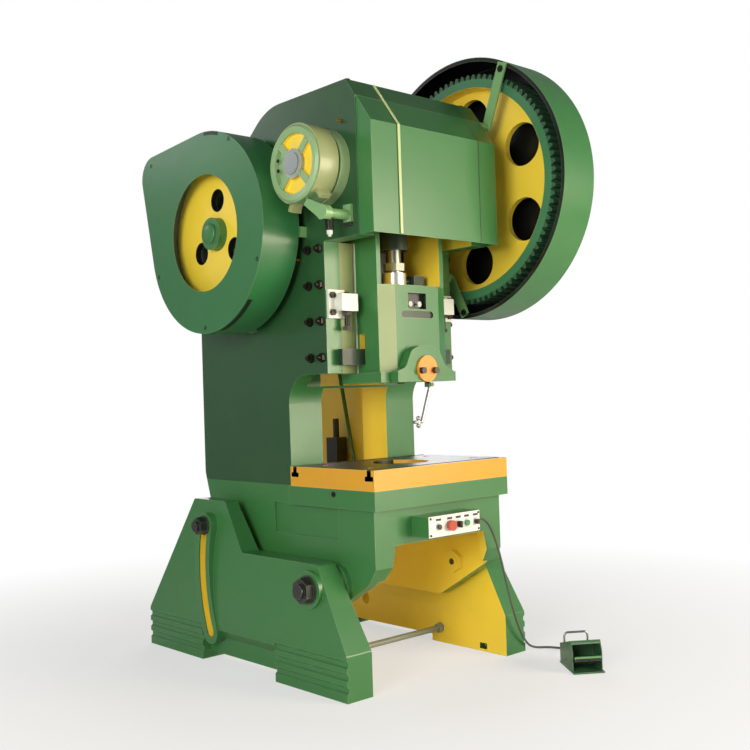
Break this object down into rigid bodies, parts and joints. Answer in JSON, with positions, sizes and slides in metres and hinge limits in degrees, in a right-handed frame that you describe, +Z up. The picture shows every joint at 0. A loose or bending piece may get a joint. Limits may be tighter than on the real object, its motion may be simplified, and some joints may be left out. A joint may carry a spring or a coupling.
{
  "type": "mechanical stamping press",
  "caption": "Green C-frame crank press that tilts on two legs, with guarded bull gear, guarded flywheel, table, slide and cabled foot switch.",
  "frame": {"origin": "on the floor, at the middle of the four anchor bolts of the feet", "axes": "+X to the operator's right, +Y to the back of the press, +Z up"},
  "size_m": [1.126, 1.7544, 2.446],
  "materials": {
    "machine_green": "satin enamel",
    "deep_green": "satin enamel",
    "olive_band": "satin enamel",
    "warning_yellow": "satin enamel",
    "orange_disc": "gloss enamel",
    "white_panel": "satin enamel",
    "white_block": "satin enamel",
    "black_metal": "satin enamel",
    "machined_steel": "ground",
    "bright_cap": "polished",
    "bearing_bronze": "turned",
    "cast_gear": "painted casting with machined teeth",
    "belt_rubber": "matte",
    "cord_rubber": "matte",
    "black_plastic": "moulded",
    "red_plastic": "moulded",
    "green_plastic": "moulded"
  },
  "bodies": {
    "base": {"left_leg": "machine_green", "right_leg": "machine_green", "tie_rod": "machined_steel", "pivot_bolts": "black_metal", "pedal_base": "machine_green", "pedal_housing": "machine_green", "pedal_handle": "machined_steel", "pedal_gland": "black_plastic"},
    "ram": {"slide": "machine_green", "ball_screw": "machined_steel", "ball_cap": "bright_cap", "ball_seat": "bearing_bronze", "screw_lock": "deep_green", "die_clamp": "machine_green", "clamp_disc": "orange_disc"},
    "gear": {"bull_gear": "cast_gear"},
    "drive_shaft": {"pinion_shaft": "machined_steel", "flywheel": "cast_gear"},
    "pulley": {"motor_pulley": "machined_steel"},
    "ejector": {"knockout_bar": "deep_green"},
    "lever": {"clamp_lever": "black_metal"},
    "treadle": {"pedal_treadle": "black_plastic"},
    "jog": {"jog_button": "black_plastic"},
    "stop": {"stop_button": "red_plastic"},
    "start": {"start_button": "green_plastic"},
    "mode": {"mode_switch": "black_plastic"},
    "key": {"key_switch": "black_plastic"},
    "press_frame": {"lock_bolts": "black_metal", "frame": "machine_green", "head_cover": "machine_green", "bolster": "warning_yellow", "bolster_screws": "black_metal", "crankshaft": "machined_steel", "crank_bushes": "bearing_bronze", "rod_bolts": "black_metal", "connecting_rod": "machine_green", "rod_cap": "machine_green", "left_gib": "olive_band", "right_gib": "olive_band", "gib_screws": "machined_steel", "stop_brackets": "white_block", "stop_screws": "machined_steel", "brake_drum": "machine_green", "brake_band": "olive_band", "brake_anchor": "machine_green", "brake_plate": "machine_green", "shaft_bearings": "cast_gear", "clutch_sleeve": "machine_green", "gear_guard": "machine_green", "guard_supports": "machine_green", "v_belts": "belt_rubber", "belt_guard": "deep_green", "motor": "deep_green", "motor_base": "deep_green", "control_box": "machine_green", "control_panel": "white_panel", "clutch_solenoid": "black_metal", "clutch_rod": "deep_green", "pedal_cord": "cord_rubber", "cord_gland": "black_plastic"}
  },
  "joints": [
    {"name": "frame_tilt", "type": "hinge", "parent": "base", "child": "press_frame", "pos_m": [0, -0.465, 0.37], "axis": [-1, 0, 0], "range_deg": [0, 30], "deforming": ["pedal_cord"]},
    {"name": "slide_stroke", "type": "slide", "parent": "press_frame", "child": "ram", "axis": [0, 0, -1], "range_m": [0, 0.12]},
    {"name": "gear_spin", "type": "hinge", "parent": "press_frame", "child": "gear", "pos_m": [0.48, -0.46, 1.905], "axis": [1, 0, 0], "continuous": true},
    {"name": "flywheel_spin", "type": "hinge", "parent": "press_frame", "child": "drive_shaft", "pos_m": [0, 0.052, 1.71823], "axis": [1, 0, 0], "continuous": true},
    {"name": "pulley_spin", "type": "hinge", "parent": "press_frame", "child": "pulley", "pos_m": [-0.46, 0.426, 2.001], "axis": [1, 0, 0], "continuous": true},
    {"name": "ejector_lift", "type": "slide", "parent": "ram", "child": "ejector", "axis": [0, 0, 1], "range_m": [0, 0.055]},
    {"name": "clamp_swing", "type": "hinge", "parent": "ram", "child": "lever", "pos_m": [0.028, -0.612, 1.093], "axis": [0, 1, 0], "range_deg": [-80, 40]},
    {"name": "treadle_press", "type": "hinge", "parent": "base", "child": "treadle", "pos_m": [0.43105, -0.96829, 0.028], "axis": [0.809, -0.5878, 0], "range_deg": [0, 8], "stiffness_Nm_per_rad": 30, "springref_deg": -6.88},
    {"name": "jog_press", "type": "slide", "parent": "press_frame", "child": "jog", "axis": [0, 1, 0], "range_m": [0, 0.004], "stiffness_N_per_m": 400, "springref_m": -0.004},
    {"name": "stop_press", "type": "slide", "parent": "press_frame", "child": "stop", "axis": [0, 1, 0], "range_m": [0, 0.004], "stiffness_N_per_m": 400, "springref_m": -0.004},
    {"name": "start_press", "type": "slide", "parent": "press_frame", "child": "start", "axis": [0, 1, 0], "range_m": [0, 0.004], "stiffness_N_per_m": 400, "springref_m": -0.004},
    {"name": "mode_turn", "type": "hinge", "parent": "press_frame", "child": "mode", "pos_m": [0.003, -0.765, 0.574], "axis": [0, 1, 0], "range_deg": [0, 60]},
    {"name": "key_turn", "type": "hinge", "parent": "press_frame", "child": "key", "pos_m": [0.096, -0.765, 0.574], "axis": [0, 1, 0], "range_deg": [0, 60]}
  ],
  "couplings": [
    {"joint": "flywheel_spin", "follows": "gear_spin", "ratio": -6.2667},
    {"joint": "pulley_spin", "follows": "gear_spin", "ratio": -28.923}
  ]
}
